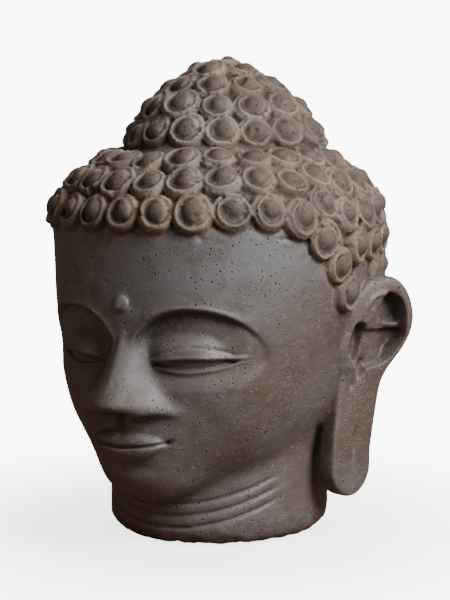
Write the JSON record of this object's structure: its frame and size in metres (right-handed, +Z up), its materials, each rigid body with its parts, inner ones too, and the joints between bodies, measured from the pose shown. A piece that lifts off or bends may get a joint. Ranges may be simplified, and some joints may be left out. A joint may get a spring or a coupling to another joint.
{
  "type": "stone buddha head",
  "caption": "Carved stone Buddha head with snail-curl hair, domed topknot, lowered eyes, long-lobed ears and a short neck cut flat to stand on.",
  "frame": {"origin": "middle of the footprint of the whole head, at the flat cut under the neck", "axes": "+Z up from the neck's cut to the topknot's peak, the face towards -Y, the head's left ear towards +X"},
  "size_m": [0.307, 0.33, 0.4],
  "materials": {
    "stone": "dark volcanic stone, rubbed to a satin, with pale dust in the hair's recesses"
  },
  "bodies": {
    "root": {"buddha_head": "stone"}
  },
  "joints": []
}
